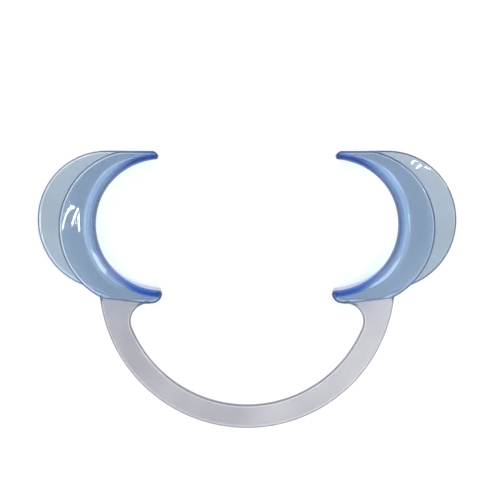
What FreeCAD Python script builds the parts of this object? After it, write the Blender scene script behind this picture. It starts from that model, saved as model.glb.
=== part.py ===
"""Cheek retractor (C-type mouth opener) lying flat on its two inner flanges.

+X is the wearer's left, +Y points from the chin to the nose, +Z points out of the mouth.
Z = 0 is the table that the inner flanges lie on. X = 0 is the symmetry plane.
Each half of the clear spring bow carries one blue cheek cup, and the halves meet at X = 0,
where the bow bends when the cups are squeezed together.
"""

import math
import os

import FreeCAD
import Part
import Sketcher

# Driving dimensions: alias, value in millimetres or degrees, and what it is.
DIMENSIONS = [
    ("bow_radius", 41.2, "outer edge of the bow's arc"),
    ("bow_width", 6.6, "width of the strip, across the arc"),
    ("bow_thickness", 2.4, "thickness of the strip"),
    ("bow_y", 2.5, "centre of the bow's arc"),
    ("bow_edge", 0.5, "rounding of the strip's long edges"),
    ("gusset_radius", 5.0, "hollow between the strip and the cup's lower lobe"),
    ("seam_x", 41.0, "a point on the line where the bow meets the cup"),
    ("seam_y", -2.0, "the same point"),
    ("seam_angle", 6.8, "slope of that line"),
    ("cup_depth", 12.0, "from the table to the front of the cup"),
    ("cup_wall", 1.6, "wall of the saddle and of both flanges"),
    ("cup_bend", 2.8, "outer radius of the bends between saddle and flanges"),
    ("saddle_x", 23.5, "axis of the lip saddle"),
    ("saddle_y", 18.1, "axis of the lip saddle"),
    ("saddle_radius", 18.3, "mouth side of the saddle"),
    ("upper_sweep", 87.0, "arc of the saddle above its middle"),
    ("lower_sweep", 89.5, "arc of the saddle below its middle"),
    ("cup_top", 20.6, "straight upper edge of both flanges, from the saddle's axis"),
    ("flange_reach", 31.0, "untrimmed flange radius about the saddle's axis"),
    ("flange_flare", 3.0, "outward lean of the outer flange"),
    ("outer_rim_x", 6.9, "centre of the outer flange's rim, from the saddle's axis"),
    ("outer_rim_y", -0.8, "the same centre"),
    ("outer_rim_radius", 21.9, "rim of the outer flange"),
    ("inner_rim_x", 16.2, "centre of the inner flange's rim, from the saddle's axis"),
    ("inner_rim_radius", 19.7, "rim of the inner flange, which meets the upper edge smoothly"),
    ("rim_edge", 0.45, "rounding of the flanges' rims"),
]

START, END, CENTRE = 1, 2, 3
ORIGIN, X_AXIS, Y_AXIS = -1, -1, -2

NEAR = 0.01  # mm, when an edge is looked up by its place


def make_sheet(doc):
    """The spreadsheet that every size below is bound to."""
    sheet = doc.addObject("Spreadsheet::Sheet", "dims")
    for row, (alias, value, meaning) in enumerate(DIMENSIONS, start=1):
        sheet.set(f"A{row}", meaning)
        sheet.set(f"B{row}", str(value))
        sheet.setAlias(f"B{row}", alias)
    doc.recompute()
    return sheet


def read_sheet(sheet):
    """The same dimensions as plain numbers, for first guesses in the sketches."""
    return {alias: float(sheet.get(alias)) for alias, _, _ in DIMENSIONS}


def origin_feature(body, role):
    return next(f for f in body.Origin.OriginFeatures if f.Role == role)


def new_sketch(body, name, plane_role):
    sketch = body.newObject("Sketcher::SketchObject", name)
    sketch.AttachmentSupport = (origin_feature(body, plane_role), [""])
    sketch.MapMode = "FlatFace"
    return sketch


def line(x0, y0, x1, y1):
    return Part.LineSegment(FreeCAD.Vector(x0, y0, 0), FreeCAD.Vector(x1, y1, 0))


def circle(x, y, radius):
    return Part.Circle(FreeCAD.Vector(x, y, 0), FreeCAD.Vector(0, 0, 1), radius)


def arc(x, y, radius, start_deg, end_deg):
    """Counter-clockwise arc."""
    return Part.ArcOfCircle(circle(x, y, radius), math.radians(start_deg), math.radians(end_deg))


def crossings(point, slope_deg, radius):
    """Where the sloping line through a point meets a circle about (0, 0), left one first."""
    slope = math.radians(slope_deg)
    dx, dy = math.cos(slope), math.sin(slope)
    nearest = point[0] * dx + point[1] * dy
    half_chord = math.sqrt(nearest ** 2 - point[0] ** 2 - point[1] ** 2 + radius ** 2)
    steps = (-nearest - half_chord, -nearest + half_chord)
    return [(point[0] + dx * step, point[1] + dy * step) for step in steps]


def bearing(x, y):
    """Angle of a direction in degrees."""
    return math.degrees(math.atan2(y, x))


def constrain(sketch, *rules):
    for rule in rules:
        sketch.addConstraint(Sketcher.Constraint(*rule))


def dimension(sketch, name, rule, expression):
    """A named dimensional constraint that follows the sheet."""
    index = sketch.addConstraint(Sketcher.Constraint(*rule))
    sketch.renameConstraint(index, name)
    sketch.setExpression(f"Constraints.{name}", expression)


def at_point(sketch, name, geometry, end, x_expression, y_expression, guess):
    """Places one end of a geometry at a point given by two expressions of either sign."""
    for letter, expression, value in zip("XY", (x_expression, y_expression), guess):
        rule = (f"Distance{letter}", ORIGIN, 1, geometry, end, value)
        dimension(sketch, f"{name}_{letter.lower()}", rule, expression)


def section_sketch(body, dims):
    """U section of the cup: outer flange, saddle and inner flange, with round bends."""
    sketch = new_sketch(body, "CupSection", "XZ_Plane")
    inside = dims["saddle_radius"]
    wall = dims["cup_wall"]
    bend = dims["cup_bend"]
    reach = dims["flange_reach"]
    depth = dims["cup_depth"]
    mid = inside + bend
    front = depth - bend
    shapes = [
        line(inside, bend, inside, front),
        arc(mid, front, bend, 90, 180),
        line(mid, depth, reach, depth),
        line(reach, depth, reach, depth - wall),
        line(reach, depth - wall, mid, depth - wall),
        arc(mid, front, bend - wall, 90, 180),
        line(inside + wall, front, inside + wall, bend),
        arc(mid, bend, bend - wall, 180, 270),
        line(mid, wall, reach, wall),
        line(reach, wall, reach, 0),
        line(reach, 0, mid, 0),
        arc(mid, bend, bend, 180, 270),
    ]
    (mouth, front_bend, front_face, front_rim, front_back, front_hollow,
     lip, back_hollow, back_face, back_rim, table, back_bend) = sketch.addGeometry(shapes, False)
    constrain(
        sketch,
        ("Tangent", mouth, END, front_bend, END),
        ("Tangent", front_bend, START, front_face, START),
        ("Coincident", front_face, END, front_rim, START),
        ("Coincident", front_rim, END, front_back, START),
        ("Tangent", front_back, END, front_hollow, START),
        ("Tangent", front_hollow, END, lip, START),
        ("Tangent", lip, END, back_hollow, START),
        ("Tangent", back_hollow, END, back_face, START),
        ("Coincident", back_face, END, back_rim, START),
        ("Coincident", back_rim, END, table, START),
        ("Tangent", table, END, back_bend, END),
        ("Tangent", back_bend, START, mouth, START),
        ("Coincident", front_bend, CENTRE, front_hollow, CENTRE),
        ("Coincident", back_bend, CENTRE, back_hollow, CENTRE),
        ("Vertical", mouth),
        ("Vertical", front_rim),
        ("Vertical", back_rim),
        ("Parallel", front_face, front_back),
        ("Equal", front_bend, back_bend),
        ("Equal", front_hollow, back_hollow),
        ("PointOnObject", table, START, X_AXIS),
        ("PointOnObject", table, END, X_AXIS),
        ("Horizontal", back_face),
    )
    dimension(sketch, "bend", ("Radius", front_bend, bend), "dims.cup_bend")
    dimension(sketch, "hollow", ("Radius", front_hollow, bend - wall),
              "dims.cup_bend - dims.cup_wall")
    dimension(sketch, "inside", ("DistanceX", ORIGIN, 1, mouth, START, inside),
              "dims.saddle_radius")
    dimension(sketch, "front", ("DistanceY", ORIGIN, 1, front_bend, CENTRE, front),
              "dims.cup_depth - dims.cup_bend")
    dimension(sketch, "front_reach", ("DistanceX", ORIGIN, 1, front_rim, START, reach),
              "dims.flange_reach")
    dimension(sketch, "back_reach", ("DistanceX", ORIGIN, 1, back_rim, START, reach),
              "dims.flange_reach")
    flare = math.radians(dims["flange_flare"])
    dimension(sketch, "flare", ("Angle", front_face, flare), "dims.flange_flare")
    return sketch


def rim_sketch(body, dims):
    """What the flanges are trimmed to: the outer rim's circle, cut off along the bow's seam."""
    sketch = new_sketch(body, "OuterRim", "XY_Plane")
    x, y = dims["outer_rim_x"], dims["outer_rim_y"]
    radius = dims["outer_rim_radius"]
    seam = (dims["seam_x"] - dims["saddle_x"], dims["seam_y"] - dims["saddle_y"])
    guard = dims["flange_reach"] * 2
    left, right = crossings((seam[0] - x, seam[1] - y), dims["seam_angle"], radius)
    shapes = [
        circle(0, 0, guard),
        arc(x, y, radius, bearing(*right), bearing(*left) + 360),
        line(x + left[0], y + left[1], x + right[0], y + right[1]),
    ]
    surround, rim, cut = sketch.addGeometry(shapes, False)
    mark = sketch.addGeometry(Part.Point(FreeCAD.Vector(seam[0], seam[1], 0)), True)
    constrain(
        sketch,
        ("Coincident", surround, CENTRE, ORIGIN, 1),
        ("Coincident", rim, END, cut, START),
        ("Coincident", cut, END, rim, START),
        ("PointOnObject", mark, START, cut),
    )
    dimension(sketch, "guard", ("Radius", surround, guard), "dims.flange_reach * 2")
    dimension(sketch, "rim", ("Radius", rim, radius), "dims.outer_rim_radius")
    at_point(sketch, "rim", rim, CENTRE, "dims.outer_rim_x", "dims.outer_rim_y", (x, y))
    at_point(sketch, "seam", mark, START, "dims.seam_x - dims.saddle_x",
             "dims.seam_y - dims.saddle_y", seam)
    slope = math.radians(dims["seam_angle"])
    dimension(sketch, "slope", ("Angle", cut, slope), "dims.seam_angle")
    return sketch


def crescent_sketch(body, dims):
    """Outline of the inner flange: round rim, straight upper edge, and a slope down to the bow."""
    sketch = new_sketch(body, "InnerFlange", "XY_Plane")
    top = dims["cup_top"]
    radius = dims["inner_rim_radius"]
    x, y = dims["inner_rim_x"], top - radius
    root = dims["saddle_radius"] + dims["cup_bend"]
    corner = (dims["seam_x"] - dims["saddle_x"], dims["seam_y"] - dims["saddle_y"])
    inner_end = math.sqrt(root ** 2 - top ** 2)
    shrink = root / math.hypot(*corner)
    away = math.hypot(corner[0] - x, corner[1] - y)
    touch = bearing(corner[0] - x, corner[1] - y) + math.degrees(math.acos(radius / away))
    touch_x = x + radius * math.cos(math.radians(touch))
    touch_y = y + radius * math.sin(math.radians(touch))
    shapes = [
        arc(x, y, radius, touch, 90),
        line(x, top, inner_end, top),
        arc(0, 0, root, bearing(*corner), bearing(inner_end, top)),
        line(corner[0] * shrink, corner[1] * shrink, *corner),
        line(*corner, touch_x, touch_y),
    ]
    rim, upper, hollow, inward, slope = sketch.addGeometry(shapes, False)
    constrain(
        sketch,
        ("Tangent", rim, END, upper, START),
        ("Horizontal", upper),
        ("Coincident", upper, END, hollow, END),
        ("Coincident", hollow, CENTRE, ORIGIN, 1),
        ("Coincident", hollow, START, inward, START),
        ("PointOnObject", ORIGIN, 1, inward),
        ("Coincident", inward, END, slope, START),
        ("Tangent", slope, END, rim, START),
    )
    dimension(sketch, "rim", ("Radius", rim, radius), "dims.inner_rim_radius")
    dimension(sketch, "root", ("Radius", hollow, root), "dims.saddle_radius + dims.cup_bend")
    at_point(sketch, "rim", rim, CENTRE, "dims.inner_rim_x",
             "dims.cup_top - dims.inner_rim_radius", (x, y))
    at_point(sketch, "corner", slope, START, "dims.seam_x - dims.saddle_x",
             "dims.seam_y - dims.saddle_y", corner)
    return sketch


def top_sketch(body, dims):
    """What stands above the flanges' straight upper edge."""
    sketch = new_sketch(body, "UpperEdge", "XY_Plane")
    top = dims["cup_top"]
    reach = dims["flange_reach"]
    corners = [(-reach, top), (reach, top), (reach, top + reach), (-reach, top + reach)]
    sides = [line(*corners[i - 1], *corners[i]) for i in range(len(corners))]
    left, bottom, right, upper = sketch.addGeometry(sides, False)
    constrain(
        sketch,
        ("Coincident", left, END, bottom, START),
        ("Coincident", bottom, END, right, START),
        ("Coincident", right, END, upper, START),
        ("Coincident", upper, END, left, START),
        ("Vertical", left),
        ("Vertical", right),
        ("Horizontal", upper),
        ("Symmetric", bottom, START, bottom, END, Y_AXIS),
    )
    dimension(sketch, "top", ("DistanceY", ORIGIN, 1, bottom, START, top), "dims.cup_top")
    dimension(sketch, "width", ("DistanceX", bottom, START, bottom, END, reach * 2),
              "dims.flange_reach * 2")
    dimension(sketch, "height", ("DistanceY", right, START, right, END, reach),
              "dims.flange_reach")
    return sketch


def bow_sketch(body, dims):
    """Half of the strip, from the symmetry plane to the seam under the cup."""
    sketch = new_sketch(body, "Strip", "XY_Plane")
    outside = dims["bow_radius"]
    inside = outside - dims["bow_width"]
    gusset = dims["gusset_radius"]
    seam = (dims["seam_x"], dims["seam_y"] - dims["bow_y"])
    slope = math.radians(dims["seam_angle"])
    down = (math.sin(slope) * gusset, -math.cos(slope) * gusset)
    below = (seam[0] + down[0], seam[1] + down[1])
    corner = crossings(seam, dims["seam_angle"], outside)[1]
    hollow = crossings(below, dims["seam_angle"], inside - gusset)[1]
    shapes = [
        arc(0, 0, outside, -90, bearing(*corner)),
        line(*corner, hollow[0] - down[0], hollow[1] - down[1]),
        arc(*hollow, gusset, bearing(*hollow), bearing(-down[0], -down[1])),
        arc(0, 0, inside, -90, bearing(*hollow)),
        line(0, -inside, 0, -outside),
    ]
    outer, cut, gap, inner, middle = sketch.addGeometry(shapes, False)
    mark = sketch.addGeometry(Part.Point(FreeCAD.Vector(seam[0], seam[1], 0)), True)
    constrain(
        sketch,
        ("Coincident", outer, CENTRE, ORIGIN, 1),
        ("Coincident", inner, CENTRE, ORIGIN, 1),
        ("Coincident", outer, END, cut, START),
        ("Tangent", cut, END, gap, END),
        ("Tangent", gap, START, inner, END),
        ("Coincident", inner, START, middle, START),
        ("Coincident", middle, END, outer, START),
        ("PointOnObject", outer, START, Y_AXIS),
        ("PointOnObject", inner, START, Y_AXIS),
        ("PointOnObject", mark, START, cut),
    )
    dimension(sketch, "outside", ("Radius", outer, outside), "dims.bow_radius")
    dimension(sketch, "inside", ("Radius", inner, inside), "dims.bow_radius - dims.bow_width")
    dimension(sketch, "gusset", ("Radius", gap, gusset), "dims.gusset_radius")
    at_point(sketch, "seam", mark, START, "dims.seam_x", "dims.seam_y - dims.bow_y", seam)
    dimension(sketch, "slope", ("Angle", cut, slope - math.pi), "dims.seam_angle - 180")
    return sketch


def edges_where(shape, wanted):
    """Names of the edges that satisfy a test."""
    return [f"Edge{i}" for i, edge in enumerate(shape.Edges, start=1) if wanted(edge)]


def round_edges(body, name, wanted, expression):
    """A Fillet on the edges of the body's tip that the test picks."""
    base = body.Tip
    fillet = body.newObject("PartDesign::Fillet", name)
    fillet.Base = (base, edges_where(base.Shape, wanted))
    fillet.setExpression("Radius", expression)
    body.Tip = fillet
    body.Document.recompute()
    return fillet


def lies_on(edge, holds):
    """Whether five points along an edge all satisfy a test on x and y."""
    first, last = edge.ParameterRange
    points = [edge.valueAt(first + (last - first) * step / 4) for step in range(5)]
    return all(holds(point.x, point.y) for point in points)


def on_rim(edge, dims):
    """Whether an edge is one of the long ones along the outline of a flange."""
    if edge.Length < dims["cup_bend"] * 2 or edge.BoundBox.ZLength > dims["cup_wall"]:
        return False
    inner_y = dims["cup_top"] - dims["inner_rim_radius"]
    centres = (
        (dims["outer_rim_x"], dims["outer_rim_y"], dims["outer_rim_radius"]),
        (dims["inner_rim_x"], inner_y, dims["inner_rim_radius"]),
    )
    if lies_on(edge, lambda x, y: abs(y - dims["cup_top"]) < NEAR):
        return True
    return any(
        lies_on(edge, lambda x, y: abs(math.hypot(x - cx, y - cy) - radius) < NEAR)
        for cx, cy, radius in centres
    )


def make_cup(doc, dims):
    """Right cheek cup: a turned U channel, trimmed to its rim, with a wider inner flange."""
    body = doc.addObject("PartDesign::Body", "right_cheek_cup")
    body.Label = "right_cheek_cup"
    body.setExpression("Placement.Base.x", "dims.saddle_x")
    body.setExpression("Placement.Base.y", "dims.saddle_y")

    channel = body.newObject("PartDesign::Revolution", "Channel")
    channel.Profile = section_sketch(body, dims)
    channel.ReferenceAxis = (origin_feature(body, "Z_Axis"), [""])
    channel.Type = "TwoAngles"
    channel.setExpression("Angle", "dims.upper_sweep")
    channel.setExpression("Angle2", "dims.lower_sweep")
    body.Tip = channel
    doc.recompute()

    for name, outline in (("RimTrim", rim_sketch), ("TopTrim", top_sketch)):
        before = body.Tip.Shape.Volume
        trim = body.newObject("PartDesign::Pocket", name)
        trim.Profile = outline(body, dims)
        trim.Type = "ThroughAll"
        trim.SideType = "Symmetric"
        body.Tip = trim
        doc.recompute()
        if not trim.Shape.Volume < before:
            raise RuntimeError(f"{name} removed nothing")

    flange = body.newObject("PartDesign::Pad", "WideFlange")
    flange.Profile = crescent_sketch(body, dims)
    flange.setExpression("Length", "dims.cup_wall")
    body.Tip = flange
    doc.recompute()

    round_edges(body, "RoundRims", lambda edge: on_rim(edge, dims), "dims.rim_edge")
    return body


def make_bow_half(doc, dims):
    """Right half of the clear strip, level with the front of the cup."""
    body = doc.addObject("PartDesign::Body", "right_bow_half")
    body.Label = "right_bow_half"
    body.setExpression("Placement.Base.y", "dims.bow_y")
    body.setExpression("Placement.Base.z", "dims.cup_depth - dims.bow_thickness")

    strip = body.newObject("PartDesign::Pad", "Half")
    strip.Profile = bow_sketch(body, dims)
    strip.setExpression("Length", "dims.bow_thickness")
    body.Tip = strip
    doc.recompute()

    radii = (dims["bow_radius"], dims["bow_radius"] - dims["bow_width"], dims["gusset_radius"])
    round_edges(
        body,
        "RoundEdges",
        lambda edge: isinstance(edge.Curve, Part.Circle)
        and min(abs(edge.Curve.Radius - radius) for radius in radii) < NEAR,
        "dims.bow_edge",
    )
    return body


def mirror(doc, source, name):
    """The same piece on the other side of the symmetry plane X = 0."""
    twin = doc.addObject("Part::Mirroring", name)
    twin.Label = name
    twin.Source = source
    twin.Normal = FreeCAD.Vector(1, 0, 0)
    return twin


def check_document(doc, parts):
    """Stops before anything is written if a feature or a sub-part is unsound."""
    for item in doc.Objects:
        if {"Invalid", "Error"} & set(item.State):
            raise RuntimeError(f"{item.Name} failed: {item.State}")
    for item in parts:
        shape = item.Shape
        if shape.isNull() or not shape.isValid() or len(shape.Solids) != 1:
            raise RuntimeError(f"{item.Label} is not one valid solid")


def main():
    doc = FreeCAD.newDocument("cheek_retractor")
    dims = read_sheet(make_sheet(doc))
    right_cup = make_cup(doc, dims)
    right_bow = make_bow_half(doc, dims)
    parts = [
        right_cup,
        right_bow,
        mirror(doc, right_cup, "left_cheek_cup"),
        mirror(doc, right_bow, "left_bow_half"),
    ]
    doc.recompute()
    check_document(doc, parts)
    os.makedirs("parts", exist_ok=True)
    for item in parts:
        item.Shape.exportStep(f"parts/{item.Label}.step")
        box = item.Shape.BoundBox
        print(
            f"{item.Label}: {item.Shape.Volume:.1f} mm3, "
            f"x {box.XMin:.2f} to {box.XMax:.2f}, "
            f"y {box.YMin:.2f} to {box.YMax:.2f}, z {box.ZMin:.2f} to {box.ZMax:.2f}"
        )


main()
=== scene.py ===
"""Looks of the C-shaped cheek retractor: two transparent blue cheek cups on one clear spring bow.

Lengths in the shape code are millimetres, turned into metres when a mesh is made. The right cup
is built and the left one is its mirror image. A piece is a "leaf": a middle surface given by a
grid of stations, thickened to both sides and rounded off towards its boundary. Numbers kept per
vertex tell the material which zone of the cup it is on and how far the nearest rim is.
"""

import math

import bpy
from mathutils import Matrix, Vector, kdtree


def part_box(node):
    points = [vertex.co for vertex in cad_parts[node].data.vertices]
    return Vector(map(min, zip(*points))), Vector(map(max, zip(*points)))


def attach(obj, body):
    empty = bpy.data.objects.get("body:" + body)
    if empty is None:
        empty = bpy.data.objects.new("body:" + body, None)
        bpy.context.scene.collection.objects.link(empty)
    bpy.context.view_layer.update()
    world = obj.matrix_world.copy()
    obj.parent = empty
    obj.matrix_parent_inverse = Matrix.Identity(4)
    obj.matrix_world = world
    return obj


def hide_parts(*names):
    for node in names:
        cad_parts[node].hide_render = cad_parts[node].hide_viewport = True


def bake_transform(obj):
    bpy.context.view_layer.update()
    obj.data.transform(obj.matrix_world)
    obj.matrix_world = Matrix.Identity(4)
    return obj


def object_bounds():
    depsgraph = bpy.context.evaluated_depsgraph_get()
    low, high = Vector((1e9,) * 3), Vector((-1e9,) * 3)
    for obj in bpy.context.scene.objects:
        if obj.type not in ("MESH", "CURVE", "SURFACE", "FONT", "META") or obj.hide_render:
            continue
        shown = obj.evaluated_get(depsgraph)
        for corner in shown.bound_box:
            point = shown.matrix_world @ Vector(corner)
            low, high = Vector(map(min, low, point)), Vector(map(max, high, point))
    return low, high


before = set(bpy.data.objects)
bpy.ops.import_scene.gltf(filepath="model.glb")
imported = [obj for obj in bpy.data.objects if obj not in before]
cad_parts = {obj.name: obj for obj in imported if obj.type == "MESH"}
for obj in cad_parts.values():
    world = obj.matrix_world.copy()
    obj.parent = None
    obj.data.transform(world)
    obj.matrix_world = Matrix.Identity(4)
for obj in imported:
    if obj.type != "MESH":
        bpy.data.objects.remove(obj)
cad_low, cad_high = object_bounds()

MM = 0.001

# ---------------------------------------------------------------- sizes, in mm and degrees

WALL = 1.6              # saddle and flanges
BEND_FULL = 2.9         # radius of the wall's middle in the bends, at mid saddle
BEND_TIP = 1.1          # and at the saddle's ends
LEAN = 1.1              # how far the saddle's table side draws back, at mid saddle
CROWN = 0.25            # the saddle's bulge towards the mouth, at mid saddle
CUP_DEPTH = 12.0        # table to the front of the bend
SADDLE_MID = 19.1       # middle of the saddle's wall, from the saddle's axis
UPPER_SWEEP = 87.0      # how far the saddle goes round, up and down from its middle
LOWER_SWEEP = 89.5
ENDS_SPAN = (38.0, 80.0)            # the wall changes from its middle form to its end form here
LEAN_SPAN = (20.0, 75.0)            # the lean goes back to nothing here
FLARE = 3.0             # outward lean of the outer flange
CUP_TOP = 20.6          # straight upper edge of both flanges, from the saddle's axis
OUTER_RIM = (6.9, -0.8, 21.9)       # centre and radius
INNER_RIM = (16.2, 0.9, 19.7)
SEAM_CORNER = (17.5, -20.1)         # where bow and cup meet, from the saddle's axis
SEAM_ANGLE = 6.8
SEAM_FROM = -78.0       # the sharp seam edge goes from here round to the corner
INNER_DROP = 1.3        # the inner flange goes on this much lower than the seam
RIM_ROUND = 0.62        # rounding of the flanges' rims
TIP_CORNER_UPPER = 1.4  # rounded corners of the saddle's ends
TIP_CORNER_LOWER = 3.0
END_DRAFT = 0.8         # the saddle is this much shorter at the table side, at each end
DRAFT_SPAN = (1.0, 1.45)            # the draft comes in here, in radians from mid saddle
CUP_STEP = 0.45         # between stations round the saddle
CUP_COLUMNS = 60        # spaces across the channel

BOW_RADIUS = 41.2       # outer edge of the strip
BOW_WIDTH = 6.6
BOW_THICK = 2.4
BOW_ROUND = 0.75        # rounding of its edges
GUSSET = 5.0            # radius that widens the strip towards the seam
BOW_EVEN_TO = -38.0     # up to here the stations lie straight across the strip
BOW_STATIONS = 90       # spaces between them
BOW_STEP = 0.35         # between the stations after that
BOW_COLUMNS = 14        # spaces across the strip
SEAM_GAP = 0.05         # between the clear strip and the cup
SEAM_ROUND = 0.12       # rounding of the two edges that meet there

FAR = 99.0              # stands for an edge that a direction never meets
FACING = 0.05           # the least cosine at which a direction counts as meeting an edge

# ---------------------------------------------------------------- tint zones, lengths in mm

WEB_REACH = 0.9         # at the saddle's ends its tint goes this far into the bends
WEB_SHARE = 0.4         # strength of the saddle's tint at mid saddle, 1 at the ends
DEEP_REACH = 0.05       # the painted deep blue front line's reach at mid saddle, 1 more at the ends
DEEP_HEIGHT = (6.5, 8.5)            # above the table, where that line fades in
ZONE_FADE = 0.35        # width of a zone's border
FLANGE_FADE = (-1.2, 0.3)           # the flange's tint fades in here, from the bend's end
TIP_FADE = (0.6, 2.2)   # the tips' painted deep blue fades out here, from the saddle's end
RIGHT_PAINTED_HIGHLIGHT = 0.3         # strength of the painted highlight beside the rims, right cup; 1 on the left, the side the key light comes from
RIM_LINE = (0.28, 0.55)             # the dark line, painted shade along the edge, fades out here, from the edge
PAINTED_HIGHLIGHT_LINE = (0.55, 0.95)             # the painted highlight line beside it
PAINTED_HIGHLIGHT_STRENGTH = 0.7      # its largest share of the tint
CLARITY_FADE = (0.60, 0.95)         # the plastic clears up here
NO_RIM = 9.0            # inset given along the seam, so that it gets no painted lines
FRONT_FROM = 1.5        # height above the table where the back flange's greyer tint, partly painted shade of the floor under the cup, ends
FRONT_FULL = 4.0        # and where the front's is full

RIM_CLARITY = 0.55      # share of the light that goes into the plastic, at the rims
BODY_CLARITY = 0.9      # and away from them
DEEP_CLARITY = 0.78     # what the painted deep front line leaves of that
CLOUD_SCALE = 40.0      # pattern sizes of clouding, haze and ripples, per metre
HAZE_SCALE = 160.0
WAVE_SCALE = 70.0

# ---------------------------------------------------------------- placing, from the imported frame


def node_box(name):
    """A node's lowest and highest corners in mm."""
    low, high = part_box(name)
    return [c / MM for c in low], [c / MM for c in high]


cup_low, cup_high = node_box("right_cheek_cup")
bow_low, bow_high = node_box("right_bow_half")
SADDLE_X = cup_high[0] - INNER_RIM[0] - INNER_RIM[2]
SADDLE_Y = cup_high[1] - CUP_TOP
TABLE_Z = cup_low[2]
BOW_Y = bow_low[1] + BOW_RADIUS
BOW_MID_Z = (bow_low[2] + bow_high[2]) / 2
CORNER_TURN = math.atan2(SEAM_CORNER[1], SEAM_CORNER[0])    # where the seam corner lies, in radians

# ---------------------------------------------------------------- leaves


def smooth(value, low, high):
    """Goes smoothly from 0 at low to 1 at high."""
    share = min(max((value - low) / (high - low), 0.0), 1.0)
    return share * share * (3 - 2 * share)


def round_steps(radius, count=5):
    """Distances from an edge that divide its rounding evenly."""
    return [radius * (1 - math.cos(math.pi / 2 * k / count)) for k in range(count + 1)]


def half_thickness(distance, radius, half):
    """Half the wall at a distance from the boundary, where the rounding takes part of it off."""
    if distance >= radius:
        return half
    return half - radius + math.sqrt(max(0.0, radius ** 2 - (radius - distance) ** 2))


def spaced(first, last, edge, step):
    """Stations from first up to last: rounding steps at both ends, about even ones between."""
    length = last - first
    lead = round_steps(edge)
    inner = length - 2 * lead[-1]
    count = max(2, round(inner / step))
    middle = [lead[-1] + inner * k / count for k in range(1, count)]
    stations = lead + middle + [length - d for d in reversed(lead)]
    return [first + d for d in stations]


def make_leaf(name, middle, normals, rounding, half, mirrored=False, fields=None):
    """A closed mesh from a grid of middle points and normals.

    rounding(row, column) gives a boundary point's edge radius. fields holds grids of numbers that
    are kept with the vertices, next to each vertex's distance from the boundary.
    """
    rows, columns = len(middle), len(middle[0])
    walk = (
        [(r, 0) for r in range(rows)]
        + [(rows - 1, c) for c in range(1, columns)]
        + [(r, columns - 1) for r in range(rows - 2, -1, -1)]
        + [(0, c) for c in range(columns - 2, 0, -1)]
    )
    fine = 8    # samples on each stretch of the boundary
    samples = []
    for i, (r, c) in enumerate(walk):
        nr, nc = walk[(i + 1) % len(walk)]
        start, end = middle[r][c], middle[nr][nc]
        samples += [(start.lerp(end, k / fine), rounding(r, c)) for k in range(fine)]
    tree = kdtree.KDTree(len(samples))
    for i, (point, _) in enumerate(samples):
        tree.insert(point, i)
    tree.balance()

    sides = []
    verts = []
    insets = []
    for sign in (1, -1):
        index = []
        for r in range(rows):
            line = []
            for c in range(columns):
                point = middle[r][c]
                _, nearest, distance = tree.find(point)
                thick = half_thickness(distance, samples[nearest][1], half)
                line.append(len(verts))
                verts.append(point + normals[r][c] * (thick * sign))
                insets.append(distance if samples[nearest][1] > SEAM_ROUND else NO_RIM)
            index.append(line)
        sides.append(index)
    faces = []
    for index, flip in zip(sides, (False, True)):
        for r in range(rows - 1):
            for c in range(columns - 1):
                quad = [index[r][c], index[r][c + 1], index[r + 1][c + 1], index[r + 1][c]]
                faces.append(quad[::-1] if flip else quad)
    top, bottom = sides
    for i, (r, c) in enumerate(walk):
        nr, nc = walk[(i + 1) % len(walk)]
        faces.append([top[r][c], top[nr][nc], bottom[nr][nc], bottom[r][c]])
    piece = mesh_piece(name, verts, faces, mirrored)
    store_field(piece, "inset", insets)
    for title, grid in (fields or {}).items():
        store_field(piece, title, [value for line in grid for value in line] * 2)
    return piece


def store_field(piece, title, values):
    """Keeps one number per vertex for the material to read."""
    field = piece.data.attributes.new(title, "FLOAT", "POINT")
    field.data.foreach_set("value", values)


def mesh_piece(name, verts, faces, mirrored):
    """An object with a smooth mesh whose faces look outwards."""
    side = -1 if mirrored else 1
    mesh = bpy.data.meshes.new(name)
    mesh.from_pydata([(v.x * MM * side, v.y * MM, v.z * MM) for v in verts], [], faces)
    mesh.update()
    volume = sum(p.area * p.center.dot(p.normal) for p in mesh.polygons)
    if volume < 0:
        mesh.flip_normals()
    for polygon in mesh.polygons:
        polygon.use_smooth = True
    piece = bpy.data.objects.new(name, mesh)
    bpy.context.scene.collection.objects.link(piece)
    return piece


# ---------------------------------------------------------------- cheek cup


def seam_reach(direction, drop=0.0):
    """Distance from the saddle's axis to the seam line, or a long way off when facing away."""
    slope = math.radians(SEAM_ANGLE)
    nx, ny = -math.sin(slope), math.cos(slope)
    along = nx * direction[0] + ny * direction[1]
    if along > -FACING:
        return FAR
    return (nx * SEAM_CORNER[0] + ny * SEAM_CORNER[1] - drop) / along


def top_reach(direction):
    """Distance from the saddle's axis to the straight upper edge."""
    return CUP_TOP / direction[1] if direction[1] > FACING else FAR


def rim_reach(direction, rim):
    """Distance from the saddle's axis to the far side of a rim's circle."""
    x, y, radius = rim
    along = direction[0] * x + direction[1] * y
    inside = along ** 2 - x ** 2 - y ** 2 + radius ** 2
    return along + math.sqrt(inside) if inside > 0 else 0.0


def slope_touch():
    """Where the slope from the seam corner touches the inner rim's circle, in radians round it."""
    cx, cy, radius = INNER_RIM
    px, py = SEAM_CORNER
    away = math.hypot(px - cx, py - cy)
    return math.atan2(py - cy, px - cx) + math.acos(radius / away)


def slope_reach(direction):
    """Distance to the straight slope between the seam corner and the inner rim's circle."""
    touch = slope_touch()
    nx, ny = math.cos(touch), math.sin(touch)
    along = nx * direction[0] + ny * direction[1]
    return (nx * SEAM_CORNER[0] + ny * SEAM_CORNER[1]) / along if along > FACING else FAR


def outer_reach(direction):
    """Distance to the outer flange's edge: seam line, round rim and straight top."""
    if math.atan2(direction[1], direction[0]) < CORNER_TURN:
        return seam_reach(direction)
    return min(rim_reach(direction, OUTER_RIM), top_reach(direction))


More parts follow.
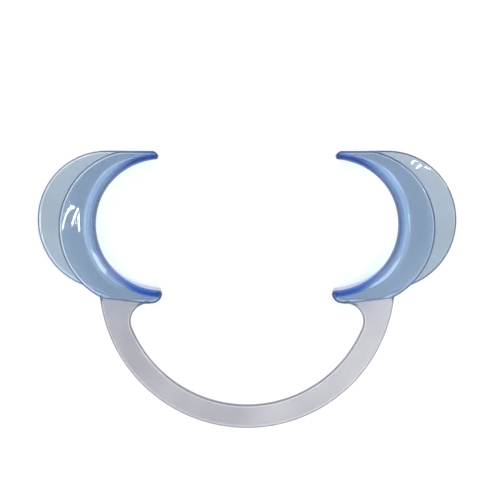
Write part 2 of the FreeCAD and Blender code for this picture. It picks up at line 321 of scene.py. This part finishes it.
def inner_reach(direction):
    """Distance to the wide inner flange's edge; below the seam corner it ends like the outer one."""
    angle = math.atan2(direction[1], direction[0])
    if angle < CORNER_TURN:
        drop = INNER_DROP * smooth(angle, -math.pi / 2, CORNER_TURN)
        return min(seam_reach(direction, drop), slope_reach(direction))
    cx, cy, radius = INNER_RIM
    touch = slope_touch()
    tx, ty = cx + radius * math.cos(touch), cy + radius * math.sin(touch)
    if angle < math.atan2(ty, tx):
        return slope_reach(direction)
    if angle > math.atan2(CUP_TOP, INNER_RIM[0]):
        return top_reach(direction)
    return rim_reach(direction, INNER_RIM)


class Section:
    """The wall's middle across the channel, at one place along the saddle.

    A length along it is 0 at mid saddle, positive towards the outer flange and negative
    towards the inner one.
    """

    def __init__(self, direction):
        angle = abs(math.degrees(math.atan2(direction[1], direction[0])))
        ends = smooth(angle, *ENDS_SPAN)
        self.ends = ends
        self.bend = BEND_FULL + (BEND_TIP - BEND_FULL) * ends
        self.lean = LEAN * (1 - smooth(angle, *LEAN_SPAN))
        self.crown = CROWN * (1 - ends)
        self.half = CUP_DEPTH / 2 - WALL / 2
        self.reach = {1: outer_reach(direction), -1: inner_reach(direction)}
        self.turn = {1: math.radians(90 - FLARE), -1: math.pi / 2}

    def length(self, side):
        """Length from mid saddle to the flange's edge."""
        straight = self.half - self.bend
        out = self.reach[side] - SADDLE_MID
        bend_out = self.bend * (1 - math.cos(self.turn[side]))
        if out <= bend_out:
            return straight + self.bend * math.acos(1 - out / self.bend)
        rest = (out - bend_out) / math.sin(self.turn[side])
        return straight + self.bend * self.turn[side] + rest

    def point(self, length):
        """Distance from the saddle's axis, height above the table and reach into the flange."""
        side = 1 if length >= 0 else -1
        straight = self.half - self.bend
        rest = abs(length) - straight
        out, rise = 0.0, min(abs(length), straight)
        if rest > 0:
            angle = min(rest / self.bend, self.turn[side])
            out += self.bend * (1 - math.cos(angle))
            rise += self.bend * math.sin(angle)
            rest -= self.bend * angle
        if rest > 0:
            out += rest * math.sin(self.turn[side])
            rise += rest * math.cos(self.turn[side])
        share = rise * side / self.half
        shift = self.crown * share ** 2 + self.lean * (1 - share) / 2
        fade = max(0.0, 1 - out / (self.reach[side] - SADDLE_MID))
        return SADDLE_MID + out + shift * fade, CUP_DEPTH / 2 + side * rise, out


def grid_normals(points):
    """Unit normals of a grid of points."""
    rows, columns = len(points), len(points[0])
    normals = []
    for r in range(rows):
        line = []
        for c in range(columns):
            along = points[min(r + 1, rows - 1)][c] - points[max(r - 1, 0)][c]
            across = points[r][min(c + 1, columns - 1)] - points[r][max(c - 1, 0)]
            line.append(along.cross(across).normalized())
        normals.append(line)
    return normals


def corner_cut(distance, radius):
    """How far a rounded corner draws the edge in at a distance from the end."""
    if distance >= radius:
        return 0.0
    return radius - math.sqrt(radius ** 2 - (radius - distance) ** 2)


def cup_lengths(section, cut):
    """Places across the channel, from the inner flange's rim to the outer flange's."""
    lead = round_steps(RIM_ROUND)
    high = section.length(1) - cut
    low = -section.length(-1) + cut
    span = high - low - 2 * RIM_ROUND
    lengths = [low + d for d in lead]
    lengths += [low + RIM_ROUND + span * k / CUP_COLUMNS for k in range(1, CUP_COLUMNS)]
    return lengths + [high - d for d in reversed(lead)]


def cup_point(angle, distance, z):
    """A point of the wall's middle in the frame; the ends draw back towards the table side."""
    draft = END_DRAFT / SADDLE_MID * smooth(abs(angle), *DRAFT_SPAN) * math.copysign(1, angle)
    turned = angle - draft * (1 - z / CUP_DEPTH)
    out = Vector((math.cos(turned), math.sin(turned), 0))
    return Vector((SADDLE_X, SADDLE_Y, TABLE_Z + z)) + out * distance


def zone_shares(section, spots, from_end, painted_highlight_share):
    """Each tint's share at the places across the channel."""
    ends = section.ends
    strength = WEB_SHARE + (1 - WEB_SHARE) * ends
    web = WEB_REACH * ends
    deep = DEEP_REACH + ends
    root, full = (section.bend + shift for shift in FLANGE_FADE)
    flange = [smooth(reach, root, full) for _, _, reach in spots]
    at_tip = 1 - smooth(from_end, *TIP_FADE)
    return {
        "saddle": [strength * (1 - smooth(reach, web, web + ZONE_FADE)) for _, _, reach in spots],
        "flange": flange,
        # painted deep blue where the saddle's front is seen edge-on, in place of light passing along
        # the wall
        "painted_deep_line": [
            (1 - smooth(reach, deep, deep + ZONE_FADE)) * smooth(z, *DEEP_HEIGHT)
            for _, z, reach in spots
        ],
        # painted highlight: a light line beside the flanges' rims
        "painted_highlight": [painted_highlight_share * share * (1 - ends) for share in flange],
        # painted deep blue at the saddle's ends, in place of light led along the wall
        "tip": [at_tip * (1 - share) for share in flange],
    }


def build_cup(name, mirrored):
    """One cup, station by station round the saddle."""
    arc_low = -math.radians(LOWER_SWEEP) * SADDLE_MID
    arc_high = math.radians(UPPER_SWEEP) * SADDLE_MID
    arcs = spaced(arc_low, arc_high, RIM_ROUND, CUP_STEP)
    painted_highlight_share = 1.0 if mirrored else RIGHT_PAINTED_HIGHLIGHT
    middle = []
    fields = {"saddle": [], "flange": [], "painted_deep_line": [], "painted_highlight": [], "tip": []}
    for arc in arcs:
        angle = arc / SADDLE_MID
        section = Section((math.cos(angle), math.sin(angle)))
        cut = corner_cut(arc - arc_low, TIP_CORNER_LOWER) + corner_cut(arc_high - arc, TIP_CORNER_UPPER)
        spots = [section.point(length) for length in cup_lengths(section, cut)]
        middle.append([cup_point(angle, distance, z) for distance, z, _ in spots])
        from_end = min(arc - arc_low, arc_high - arc)
        for title, shares in zone_shares(section, spots, from_end, painted_highlight_share).items():
            fields[title].append(shares)
    last = len(middle[0]) - 1
    seam_from = math.radians(SEAM_FROM) * SADDLE_MID
    seam_to = CORNER_TURN * SADDLE_MID

    def rounding(r, c):
        return SEAM_ROUND if c == last and seam_from < arcs[r] < seam_to else RIM_ROUND

    return make_leaf(name, middle, grid_normals(middle), rounding, WALL / 2, mirrored, fields)


# ---------------------------------------------------------------- clear bow


def seam_line_y(x):
    """The bow side of the seam, in the frame, for the right half."""
    corner_x = SADDLE_X + SEAM_CORNER[0]
    corner_y = SADDLE_Y + SEAM_CORNER[1]
    return corner_y + (x - corner_x) * math.tan(math.radians(SEAM_ANGLE)) - SEAM_GAP


def bow_outlines():
    """Outer and inner edges of the right half, from the symmetry plane up to the seam."""
    inside = BOW_RADIUS - BOW_WIDTH
    slope = math.radians(SEAM_ANGLE)
    normal = Vector((math.sin(slope), -math.cos(slope)))
    on_seam = Vector((0, seam_line_y(0)))
    # Centre of the gusset: its own radius below the seam and inside the strip's inner edge.
    base = on_seam + normal * GUSSET - Vector((0, BOW_Y))
    along = Vector((math.cos(slope), math.sin(slope)))
    b = base.dot(along)
    c = base.length_squared - (inside - GUSSET) ** 2
    centre = base + along * (-b + math.sqrt(b * b - c))
    touch_inner = math.atan2(centre.y, centre.x)
    touch_seam = math.atan2(-normal.y, -normal.x)

    # The outer corner is where the circle meets the seam line; each pass closes the gap further.
    outer_end = -math.radians(10)
    for _ in range(40):
        y = BOW_RADIUS * math.sin(outer_end) + BOW_Y
        outer_end += (seam_line_y(BOW_RADIUS * math.cos(outer_end)) - y) / BOW_RADIUS
    return inside, centre, touch_inner, touch_seam, outer_end


def bow_half_stations():
    """Pairs of outer and inner points from the symmetry plane to the seam."""
    inside, centre, touch_inner, touch_seam, outer_end = bow_outlines()
    outer_length = (outer_end + math.pi / 2) * BOW_RADIUS
    inner_arc = (touch_inner + math.pi / 2) * inside
    gusset_arc = (touch_seam - touch_inner) * GUSSET
    inner_length = inner_arc + gusset_arc

    def outer_point(length):
        a = -math.pi / 2 + length / BOW_RADIUS
        return Vector((BOW_RADIUS * math.cos(a), BOW_RADIUS * math.sin(a) + BOW_Y))

    def inner_point(length):
        if length <= inner_arc:
            a = -math.pi / 2 + length / inside
            return Vector((inside * math.cos(a), inside * math.sin(a) + BOW_Y))
        a = touch_inner + (length - inner_arc) / GUSSET
        return centre + Vector((math.cos(a), math.sin(a))) * GUSSET + Vector((0, BOW_Y))

    # Even pairing round the arc; over the last stretch the two run to their own ends.
    split = math.radians(BOW_EVEN_TO)
    outer_split = (split + math.pi / 2) * BOW_RADIUS
    inner_split = (split + math.pi / 2) * inside
    pairs = []
    for k in range(BOW_STATIONS + 1):
        share = k / BOW_STATIONS
        pairs.append((outer_point(outer_split * share), inner_point(inner_split * share)))
    rest_outer = outer_length - outer_split
    rest_inner = inner_length - inner_split
    for step in spaced(0.0, rest_outer, BOW_ROUND, BOW_STEP):
        # The first, closest steps would round an edge that isn't there.
        if step > BOW_ROUND * 0.2:
            along = inner_split + rest_inner * step / rest_outer
            pairs.append((outer_point(outer_split + step), inner_point(along)))
    return pairs


def build_bow(name):
    """The whole strip as one mesh, from seam to seam."""
    right = bow_half_stations()
    left = [(Vector((-o.x, o.y)), Vector((-i.x, i.y))) for o, i in right]
    pairs = left[::-1] + right[1:]
    lead = round_steps(BOW_ROUND)
    middle = []
    for outer, inner in pairs:
        width = (outer - inner).length
        span = width - 2 * BOW_ROUND
        offsets = lead + [BOW_ROUND + span * k / BOW_COLUMNS for k in range(1, BOW_COLUMNS)]
        offsets += [width - d for d in reversed(lead)]
        row = []
        for d in offsets:
            p = inner.lerp(outer, d / width)
            row.append(Vector((p.x, p.y, BOW_MID_Z)))
        middle.append(row)
    normals = [[Vector((0, 0, 1)) for _ in row] for row in middle]
    last = len(middle) - 1

    def rounding(r, c):
        return SEAM_ROUND if r in (0, last) else BOW_ROUND

    return make_leaf(name, middle, normals, rounding, BOW_THICK / 2)


# ---------------------------------------------------------------- materials


def new_material(name):
    """A material with an empty node tree."""
    material = bpy.data.materials.new(name)
    material.use_nodes = True
    tree = material.node_tree
    tree.nodes.clear()
    return material, tree


def add(tree, kind, **inputs):
    """A node with its inputs set; an underscore stands for a space in an input's name."""
    node = tree.nodes.new(kind)
    for key, value in inputs.items():
        node.inputs[key.replace("_", " ")].default_value = value
    return node


def noise(tree, vector, scale, detail, low, high):
    """A noise texture spread over a range of values."""
    texture = add(tree, "ShaderNodeTexNoise", Scale=scale, Detail=detail)
    tree.links.new(vector, texture.inputs["Vector"])
    spread = add(tree, "ShaderNodeMapRange", From_Min=0.3, From_Max=0.7, To_Min=low, To_Max=high)
    tree.links.new(texture.outputs["Fac"], spread.inputs["Value"])
    return spread.outputs["Result"]


def ramp(tree, value, low, high, first, last):
    """Maps a value smoothly from one range to another."""
    node = add(tree, "ShaderNodeMapRange", From_Min=low, From_Max=high, To_Min=first, To_Max=last)
    node.interpolation_type = "SMOOTHSTEP"
    tree.links.new(value, node.inputs["Value"])
    return node.outputs["Result"]


def multiply(tree, first, second):
    """The product of two sockets."""
    node = tree.nodes.new("ShaderNodeMath")
    node.operation = "MULTIPLY"
    tree.links.new(first, node.inputs[0])
    tree.links.new(second, node.inputs[1])
    return node.outputs["Value"]


def mix_colour(tree, share, first, second):
    """Mixes two colours, each a value or a socket."""
    node = tree.nodes.new("ShaderNodeMix")
    node.data_type = "RGBA"
    tree.links.new(share, node.inputs["Factor"])
    for socket, colour in ((node.inputs[6], first), (node.inputs[7], second)):
        if isinstance(colour, tuple):
            socket.default_value = colour
        else:
            tree.links.new(colour, socket)
    return node.outputs[2]


def read_field(tree, title):
    """One number per vertex, as make_leaf stored it."""
    node = tree.nodes.new("ShaderNodeAttribute")
    node.attribute_name = title
    return node.outputs["Fac"]


def cup_tint(tree, place, web, deep, bend, front, back, tip):
    """The cup's colour by zone: saddle, bends and the two flanges, with painted deep blue on the
    saddle's front edge and tips and painted shade greying the back flange.
    """
    split = tree.nodes.new("ShaderNodeSeparateXYZ")
    tree.links.new(place, split.inputs["Vector"])
    # Greyer towards the table: the plastic's own tint with painted shade of the floor under the cup.
    depth = ramp(tree, split.outputs["Z"], FRONT_FROM * MM, FRONT_FULL * MM, 0.0, 1.0)
    body = mix_colour(tree, depth, back, front)
    body = mix_colour(tree, read_field(tree, "flange"), bend, body)
    body = mix_colour(tree, read_field(tree, "saddle"), body, web)
    # painted deep blue along the saddle's front edge
    body = mix_colour(tree, read_field(tree, "painted_deep_line"), body, deep)
    # painted deep blue at the tips
    return mix_colour(tree, read_field(tree, "tip"), body, tip)


def plastic(name, body, painted_highlight, rim, cloud, shadow, absorb, density, haze_low, haze_high):
    """Clear moulded plastic that lets the lamps' light through to what lies below it.

    body is one tint, or the cup's tints by zone.
    """
    material, tree = new_material(name)
    links = tree.links
    place = tree.nodes.new("ShaderNodeTexCoord").outputs["Object"]
    zoned = isinstance(body, dict)
    inset = read_field(tree, "inset")
    tint = cup_tint(tree, place, **body) if zoned else body
    tint = mix_colour(tree, noise(tree, place, CLOUD_SCALE, 3.0, 0.0, cloud), tint, (1, 1, 1, 1))
    # Painted highlight: a light line just inside the rims, in place of the rounded rim's reflection.
    edge = mix_colour(tree, read_field(tree, "painted_highlight"), tint, painted_highlight) if zoned else painted_highlight
    tint = mix_colour(tree, ramp(tree, inset, *PAINTED_HIGHLIGHT_LINE, PAINTED_HIGHLIGHT_STRENGTH, 0.0), tint, edge)
    # Painted shade: a dark line along the rims, where a real edge turns the light away.
    tint = mix_colour(tree, ramp(tree, inset, *RIM_LINE, 1.0, 0.0), tint, rim)

    shader = tree.nodes.new("ShaderNodeBsdfPrincipled")
    links.new(tint, shader.inputs["Base Color"])
    shader.inputs["IOR"].default_value = 1.5
    # Less light goes into the plastic at the rims and, on the cups, on the deep line, so their painted
    # colours show.
    clarity = ramp(tree, inset, *CLARITY_FADE, RIM_CLARITY, BODY_CLARITY)
    if zoned:
        clouded = ramp(tree, read_field(tree, "painted_deep_line"), 0.0, 1.0, 1.0, DEEP_CLARITY)
        clarity = multiply(tree, clarity, clouded)
    links.new(clarity, shader.inputs["Transmission Weight"])
    links.new(noise(tree, place, HAZE_SCALE, 3.0, haze_low, haze_high), shader.inputs["Roughness"])

    waves = noise(tree, place, WAVE_SCALE, 1.0, 0.0, 1.0)
    bump = add(tree, "ShaderNodeBump", Strength=0.03, Distance=0.0002)
    links.new(waves, bump.inputs["Height"])
    links.new(bump.outputs["Normal"], shader.inputs["Normal"])

    clear = tree.nodes.new("ShaderNodeBsdfTransparent")
    clear.inputs["Color"].default_value = shadow
    path = tree.nodes.new("ShaderNodeLightPath")
    mix = tree.nodes.new("ShaderNodeMixShader")
    links.new(path.outputs["Is Shadow Ray"], mix.inputs["Fac"])
    links.new(shader.outputs["BSDF"], mix.inputs[1])
    links.new(clear.outputs["BSDF"], mix.inputs[2])
    output = tree.nodes.new("ShaderNodeOutputMaterial")
    links.new(mix.outputs["Shader"], output.inputs["Surface"])

    volume = add(tree, "ShaderNodeVolumeAbsorption", Color=absorb, Density=density)
    links.new(volume.outputs["Volume"], output.inputs["Volume"])
    return material


def floor_material():
    """A matt, slightly warm white."""
    material, tree = new_material("studio_floor")
    shader = tree.nodes.new("ShaderNodeBsdfPrincipled")
    shader.inputs["Base Color"].default_value = (0.98, 0.945, 0.935, 1)
    shader.inputs["Roughness"].default_value = 0.9
    shader.inputs["Specular IOR Level"].default_value = 0.1
    output = tree.nodes.new("ShaderNodeOutputMaterial")
    tree.links.new(shader.outputs["BSDF"], output.inputs["Surface"])
    return material


# ---------------------------------------------------------------- pieces

blue = plastic(
    "blue_plastic",
    body={
        "web": (0.30, 0.50, 0.85, 1),
        # painted deep blue of light passing along the wall, seen edge-on
        "deep": (0.02, 0.16, 0.60, 1),
        "bend": (0.70, 0.74, 0.79, 1),
        "front": (0.29, 0.41, 0.55, 1),
        # the plastic's own tint greyed with painted shade of the floor under the cup
        "back": (0.35, 0.37, 0.395, 1),
        # painted deep blue at the tips, in place of light led along the wall
        "tip": (0.02, 0.04, 0.25, 1),
    },
    # painted highlight beside the rims
    painted_highlight=(1.0, 1.0, 1.0, 1),
    # painted shade along the rims
    rim=(0.04, 0.07, 0.17, 1),
    cloud=0.10,
    shadow=(0.985, 0.99, 0.995, 1),
    absorb=(0.32, 0.66, 0.873, 1),
    density=200.0,
    haze_low=0.0,
    haze_high=0.02,
)
clear = plastic(
    "clear_plastic",
    # the plastic's own lilac-grey, darkened with painted shade of the floor seen through the strip
    body=(0.25, 0.26, 0.30, 1),
    # painted highlight beside the strip's rims
    painted_highlight=(0.75, 0.76, 0.80, 1),
    # painted shade along the strip's rims
    rim=(0.20, 0.21, 0.26, 1),
    cloud=0.26,
    shadow=(0.95, 0.95, 0.97, 1),
    absorb=(0.9, 0.92, 0.95, 1),
    density=40.0,
    haze_low=0.02,
    haze_high=0.09,
)

for side, mirrored in (("right", False), ("left", True)):
    cup = build_cup(f"{side}_cup", mirrored)
    cup.data.materials.append(blue)
    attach(cup, f"{side}_half")
    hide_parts(f"{side}_cheek_cup")

bow = build_bow("clear_bow")
bow.data.materials.append(clear)
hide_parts("right_bow_half", "left_bow_half")
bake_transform(bow)

# ---------------------------------------------------------------- floor, lamps and camera


def build_floor():
    """A wide pale floor, just clear of the object's underside."""
    reach = 3.0
    gap = 0.00008
    height = TABLE_Z * MM - gap
    mesh = bpy.data.meshes.new("floor")
    corners = [(x * reach, y * reach, height) for x, y in ((-1, -1), (1, -1), (1, 1), (-1, 1))]
    mesh.from_pydata(corners, [], [(0, 1, 2, 3)])
    floor = bpy.data.objects.new("floor", mesh)
    bpy.context.scene.collection.objects.link(floor)
    mesh.materials.append(floor_material())


def add_softbox(name, place, width, height, watts):
    """A rectangular lamp that faces the middle of the object."""
    data = bpy.data.lights.new(name, "AREA")
    data.shape = "RECTANGLE"
    data.size = width
    data.size_y = height
    data.energy = watts
    lamp = bpy.data.objects.new(name, data)
    bpy.context.scene.collection.objects.link(lamp)
    lamp.location = place
    lamp.rotation_euler = (-Vector(place)).to_track_quat("-Z", "Y").to_euler()
    return lamp


def add_strip(name, x, y, width, length, turn):
    """A thin lamp high above the object, facing down: mm and degrees."""
    watts = STRIP_WATTS * width * length
    strip = add_softbox(name, (x * MM, y * MM, STRIP_HEIGHT), width * MM, length * MM, watts)
    strip.rotation_euler = (0, 0, math.radians(turn))


def build_world(strength):
    """Even, nearly white light from all round."""
    world = bpy.data.worlds.new("studio")
    world.use_nodes = True
    back = world.node_tree.nodes["Background"]
    back.inputs["Color"].default_value = (0.97, 0.98, 1.0, 1)
    back.inputs["Strength"].default_value = strength
    bpy.context.scene.world = world


def build_camera():
    """Straight above, leaning 4 degrees from the nose side, 0.45 m from the cups' fronts."""
    lean = math.radians(-4.0)
    target = Vector((0.0, 0.0, cad_high[2] - 0.0004))
    from_target = Vector((0.00083, 0.01125, 0.450))
    data = bpy.data.cameras.new("camera")
    data.sensor_width = 36.0
    data.lens = 116.64
    camera = bpy.data.objects.new("camera", data)
    bpy.context.scene.collection.objects.link(camera)
    turn = Matrix.Rotation(lean, 3, "X")
    camera.location = target + turn @ from_target
    camera.rotation_euler = (lean, 0, 0)
    bpy.context.scene.camera = camera


STRIP_HEIGHT = 1.5      # metres above the table
STRIP_WATTS = 1.7e-4    # per square mm of lamp
# The strips: x, y, width and length in mm, turn in degrees.
STRIPS = (
    (-60.5, -66.0, 1.2, 13.0, 36.0),
    (-55.0, -72.5, 1.1, 5.0, 70.0),
    (-49.5, -69.5, 1.1, 11.0, 22.0),
    (-44.0, -66.0, 1.4, 11.0, -12.0),
    (206.0, 20.0, 2.2, 30.0, -50.0),
    (216.0, 14.0, 1.8, 34.0, -58.0),
    (227.0, 18.0, 2.4, 30.0, -50.0),
)

build_floor()
build_world(0.42)
add_softbox("key", (-0.55, 0.65, 1.1), 0.7, 0.7, 6.0)
add_softbox("side", (0.42, 0.28, 0.42), 0.20, 0.45, 1.8)
add_softbox("top", (0.1, -0.1, 1.5), 0.9, 0.9, 7.0)
for number, strip in enumerate(STRIPS):
    add_strip(f"strip_{number}", *strip)
add_softbox("window", (-0.48, -0.08, 1.5), 0.15, 0.05, 0.5)
build_camera()
bpy.context.scene.view_settings.view_transform = "Standard"
